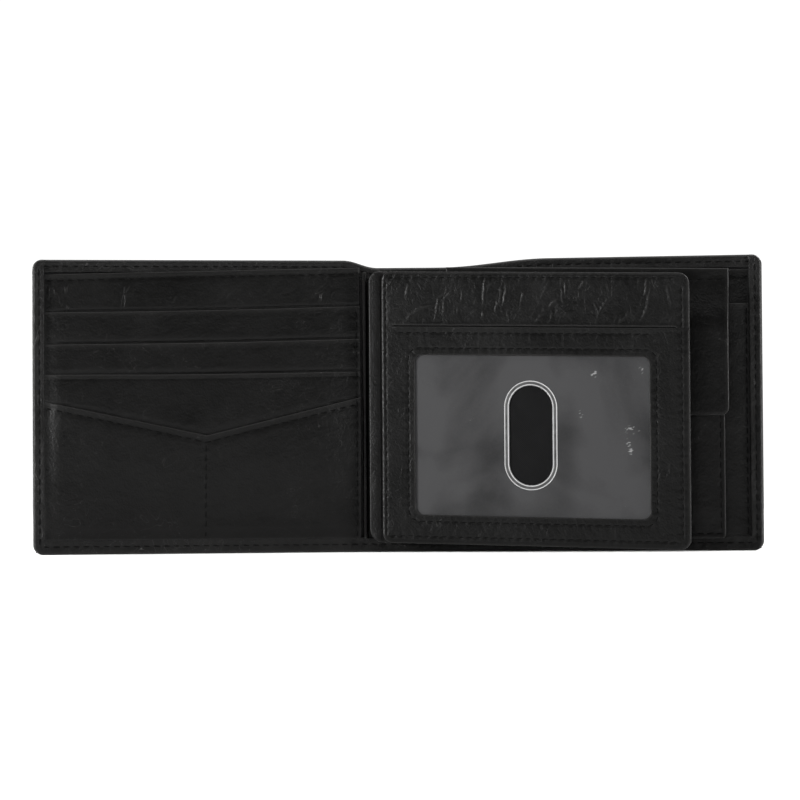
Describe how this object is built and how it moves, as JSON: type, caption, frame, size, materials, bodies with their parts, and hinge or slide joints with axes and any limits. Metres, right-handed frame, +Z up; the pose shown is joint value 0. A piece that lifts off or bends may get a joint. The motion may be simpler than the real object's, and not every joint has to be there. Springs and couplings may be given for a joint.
{
  "type": "leather wallet",
  "caption": "Two-fold leather wallet with a flip ID wing, angled card pockets and a snap-closed coin pouch, standing open on its edges.",
  "frame": {"origin": "middle of the base of the open wallet's box, on the surface that it stands on", "axes": "+X to the right along the open wallet, +Y away from the viewer who faces its inside, +Z up"},
  "size_m": [0.22, 0.0319, 0.089],
  "materials": {
    "leather": "soft black pebbled leather with a satin sheen and rubbed edges",
    "lining": "fine black woven lining",
    "film": "frosted grey window film with rub marks",
    "rim": "clear welded rim",
    "thread": "waxed black thread",
    "steel": "plated steel snap"
  },
  "bodies": {
    "spine": {"spine_cover": "leather", "spine_lining": "lining", "wing_tab": "leather"},
    "left_leaf": {"left_cover": "leather", "left_outer_hem": "leather", "left_bottom_hem": "leather", "left_top_hem": "leather", "left_note_lining": "lining", "left_cover_thread": "thread"},
    "left_panel": {"left_panel_backing": "leather", "card_pocket_upper": "leather", "card_pocket_middle": "leather", "card_pocket_lower": "leather", "v_pocket": "leather", "left_panel_thread": "thread"},
    "right_leaf": {"right_cover": "leather", "right_outer_hem": "leather", "right_bottom_hem": "leather", "right_top_hem": "leather", "right_note_lining": "lining", "right_cover_thread": "thread"},
    "right_panel": {"right_panel_backing": "leather", "slip_pocket": "leather", "flap_root": "leather", "pouch_gusset": "leather", "right_panel_thread": "thread"},
    "pouch_front": {"coin_pouch_front": "leather", "coin_pouch_lining": "lining", "snap_stud": "steel", "snap_post": "steel", "pouch_thread": "thread"},
    "coin_flap": {"coin_flap": "leather", "snap_socket": "steel", "snap_cap": "steel", "flap_thread": "thread"},
    "hinge_strip": {"wing_hinge_strip": "leather"},
    "wing": {"wing_front_frame": "leather", "wing_top_pocket": "leather", "id_window_film": "film", "thumb_hole_rim": "rim", "wing_divider": "lining", "wing_back": "leather", "wing_thread": "thread"}
  },
  "joints": [
    {"name": "left_fold", "type": "hinge", "parent": "spine", "child": "left_leaf", "pos_m": [-0.01088, 0.0152, 0.0445], "axis": [0, 0, 1], "range_deg": [-8.1, 80.6]},
    {"name": "right_fold", "type": "hinge", "parent": "spine", "child": "right_leaf", "pos_m": [0.01112, 0.0152, 0.0445], "axis": [0, 0, -1], "range_deg": [-8, 79.6]},
    {"name": "spine_fold", "type": "hinge", "parent": "hinge_strip", "child": "spine", "pos_m": [-0.00433, 0.0095, 0.044], "axis": [0, 0, 1], "range_deg": [-7.3, 73.5]},
    {"name": "wing_flip", "type": "hinge", "parent": "hinge_strip", "child": "wing", "pos_m": [-0.00433, 0.0095, 0.044], "axis": [0, 0, 1], "range_deg": [-155, 0]},
    {"name": "left_note", "type": "hinge", "parent": "left_leaf", "child": "left_panel", "pos_m": [-0.05816, 0.00673, 0.0046], "axis": [-0.9903, -0.1392, 0], "range_deg": [-2.5, 0.2]},
    {"name": "right_note", "type": "hinge", "parent": "right_leaf", "child": "right_panel", "pos_m": [0.05825, 0.00591, 0.0046], "axis": [-0.9877, 0.1564, 0], "range_deg": [-1.2, 0.2]},
    {"name": "pouch_press", "type": "hinge", "parent": "right_panel", "child": "pouch_front", "pos_m": [0.0577, 0.00245, 0.007], "axis": [-0.9877, 0.1564, 0], "range_deg": [0, 1.7]},
    {"name": "flap_lift", "type": "hinge", "parent": "right_panel", "child": "coin_flap", "pos_m": [0.05812, 0.00507, 0.0818], "axis": [0.9877, -0.1564, 0], "range_deg": [-75.1, 0.1]}
  ],
  "couplings": [
    {"joint": "left_fold", "follows": "spine_fold", "ratio": 1.0952},
    {"joint": "right_fold", "follows": "spine_fold", "ratio": 1.0816},
    {"joint": "flap_lift", "follows": "wing_flip", "ratio": 0.48387}
  ]
}
